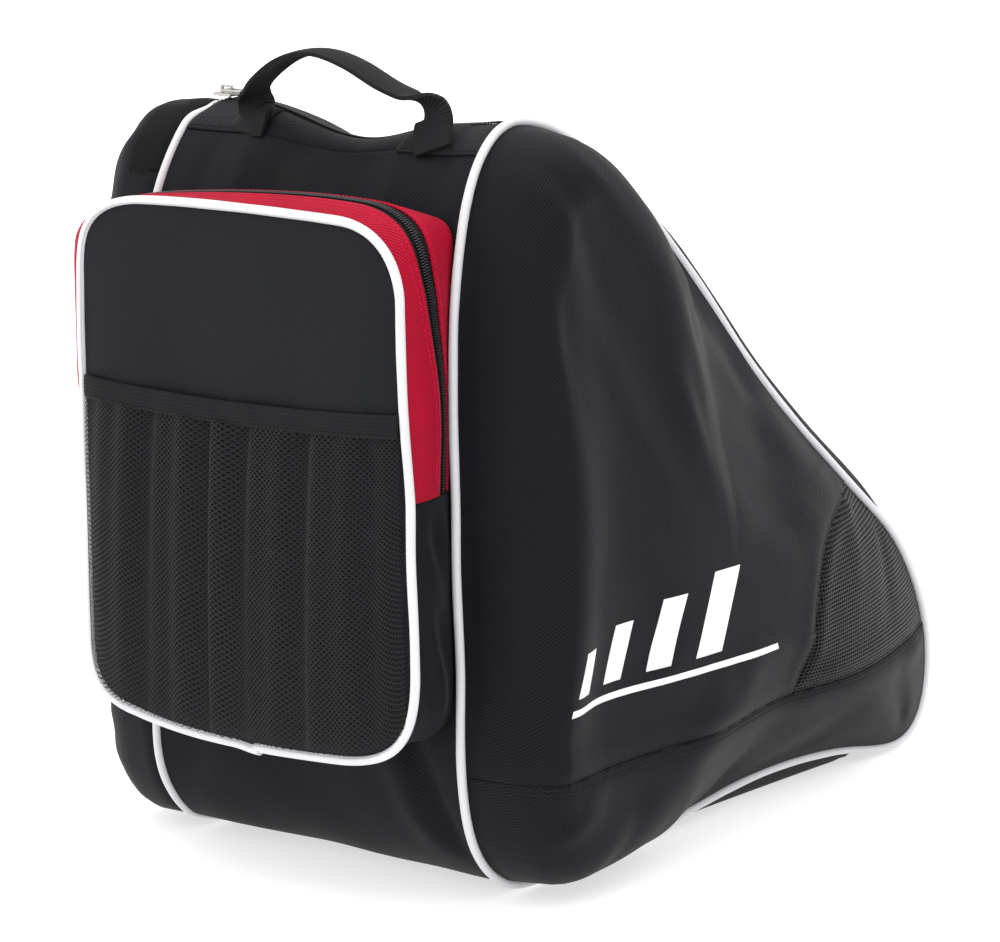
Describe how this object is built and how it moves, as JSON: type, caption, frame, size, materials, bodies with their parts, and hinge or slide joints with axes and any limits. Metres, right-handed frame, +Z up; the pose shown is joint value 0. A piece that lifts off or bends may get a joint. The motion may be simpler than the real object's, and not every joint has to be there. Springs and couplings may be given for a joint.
{
  "type": "skate bag",
  "caption": "Boot-shaped fabric bag with domed sides, a zipped lid down its slope, a zipped front pocket with a mesh pocket, white piping and a webbing carry handle.",
  "frame": {"origin": "centre of the base panel, on the ground under the middle of the body", "axes": "+X across the bag, away from the side with the pocket zip slider; +Y from the front pocket to the toe; +Z up"},
  "size_m": [0.304, 0.4831, 0.4315],
  "materials": {
    "nylon": "black twill nylon with a slight sheen",
    "red_nylon": "crimson twill nylon",
    "vent_mesh": "black open square net",
    "pocket_mesh": "black knitted diamond net",
    "elastic": "black ribbed elastic",
    "piping": "white woven piping",
    "webbing": "black ribbed webbing",
    "zip_tape": "black zip tape and coil",
    "zip_metal": "bright nickel",
    "board": "matte stiffening board"
  },
  "bodies": {
    "bag_body": {"front_panel": "nylon", "top_gusset": "nylon", "main_zip_body_half": "zip_tape", "toe_gusset": "nylon", "base_panel": "nylon", "base_board": "board", "right_side_panel": "nylon", "right_side_vent": "vent_mesh", "right_side_band": "nylon", "left_side_panel": "nylon", "left_side_vent": "vent_mesh", "left_side_band": "nylon", "right_piping": "piping", "left_piping": "piping", "right_handle_patch": "nylon", "right_handle_anchor": "webbing", "left_handle_patch": "nylon", "left_handle_anchor": "webbing", "pocket_front_lower": "nylon", "pocket_piping_lower": "piping", "pocket_zip_rear_half": "zip_tape", "pocket_gusset_rear": "red_nylon", "pocket_gusset_lower": "nylon", "pocket_mesh_lower": "pocket_mesh"},
    "lid": {"lid_panel": "nylon", "main_zip_lid_half": "zip_tape"},
    "pocket_flap": {"pocket_front_upper": "nylon", "pocket_piping_upper": "piping", "pocket_gusset_front": "red_nylon", "pocket_zip_front_half": "zip_tape", "pocket_mesh_upper": "pocket_mesh", "mesh_elastic": "elastic"},
    "handle": {"handle_webbing": "webbing"},
    "main_slider": {"main_zip_slider": "zip_metal"},
    "main_pull": {"main_zip_pull": "zip_metal"},
    "pocket_slider": {"pocket_zip_slider": "zip_metal"},
    "pocket_pull": {"pocket_zip_pull": "zip_metal"}
  },
  "joints": [
    {"name": "lid_fold", "type": "hinge", "parent": "bag_body", "child": "lid", "pos_m": [0, 0.164, 0.143], "axis": [-1, 0, 0], "range_deg": [0, 130]},
    {"name": "pocket_fold", "type": "hinge", "parent": "bag_body", "child": "pocket_flap", "pos_m": [0, -0.2656, 0.22], "axis": [1, 0, 0], "range_deg": [0, 80]},
    {"name": "handle_swing", "type": "hinge", "parent": "bag_body", "child": "handle", "pos_m": [0, -0.189, 0.403], "axis": [1, 0, 0], "range_deg": [-45, 75]},
    {"name": "main_zip_slide", "type": "slide", "parent": "lid", "child": "main_slider", "axis": [1, 0, 0], "range_m": [0, 0.172]},
    {"name": "main_pull_turn", "type": "hinge", "parent": "main_slider", "child": "main_pull", "pos_m": [-0.088, -0.1722, 0.4023], "axis": [0, -1, 0], "range_deg": [0, 170]},
    {"name": "pocket_zip_slide", "type": "slide", "parent": "bag_body", "child": "pocket_slider", "axis": [0, 0, 1], "range_m": [0, 0.042]},
    {"name": "pocket_pull_turn", "type": "hinge", "parent": "pocket_slider", "child": "pocket_pull", "pos_m": [-0.10377, -0.22497, 0.23], "axis": [0.3317, 0.9434, 0], "range_deg": [0, 170]}
  ]
}
